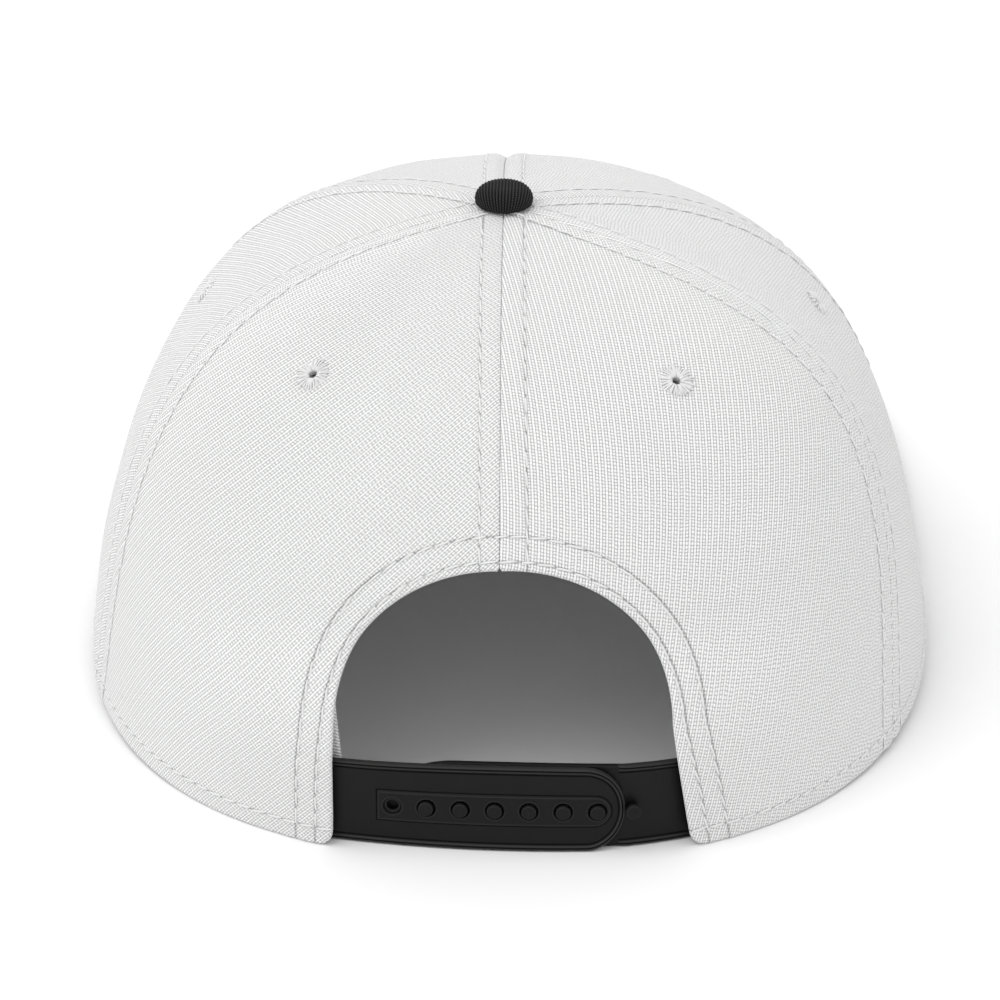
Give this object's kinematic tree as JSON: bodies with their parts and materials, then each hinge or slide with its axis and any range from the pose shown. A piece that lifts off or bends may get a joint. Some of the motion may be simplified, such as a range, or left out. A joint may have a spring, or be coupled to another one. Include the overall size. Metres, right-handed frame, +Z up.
{
  "type": "snapback cap",
  "caption": "Structured snapback cap in white cloth with a flat black visor, sewn eyelets, a covered top button and a black plastic snap strap closing an arched back opening.",
  "frame": {"origin": "on the ground below the middle of the whole cap", "axes": "+Z up, +Y toward the visor, +X toward the cap's right side as seen from behind"},
  "size_m": [0.174, 0.2542, 0.1027],
  "materials": {
    "white_twill": "white twill cloth with raised diagonal wales, matt",
    "white_thread": "white sewing thread with a slight sheen",
    "white_rib": "white ribbed band cloth, matt",
    "black_twill": "black corded twill cloth, matt",
    "black_plastic": "moulded black plastic, satin",
    "dark_metal": "dark coated metal, satin"
  },
  "bodies": {
    "root": {"crown_front_left": "white_twill", "crown_front_right": "white_twill", "crown_side_left": "white_twill", "crown_side_right": "white_twill", "crown_back_left": "white_twill", "crown_back_right": "white_twill", "eyelet_front_left": "white_thread", "eyelet_front_right": "white_thread", "eyelet_side_left": "white_thread", "eyelet_side_right": "white_thread", "eyelet_back_left": "white_thread", "eyelet_back_right": "white_thread", "button": "black_twill", "button_rivet": "dark_metal", "visor": "black_twill", "sweatband": "white_rib", "strap_holes": "black_plastic", "strap_pegs": "black_plastic"}
  },
  "joints": []
}
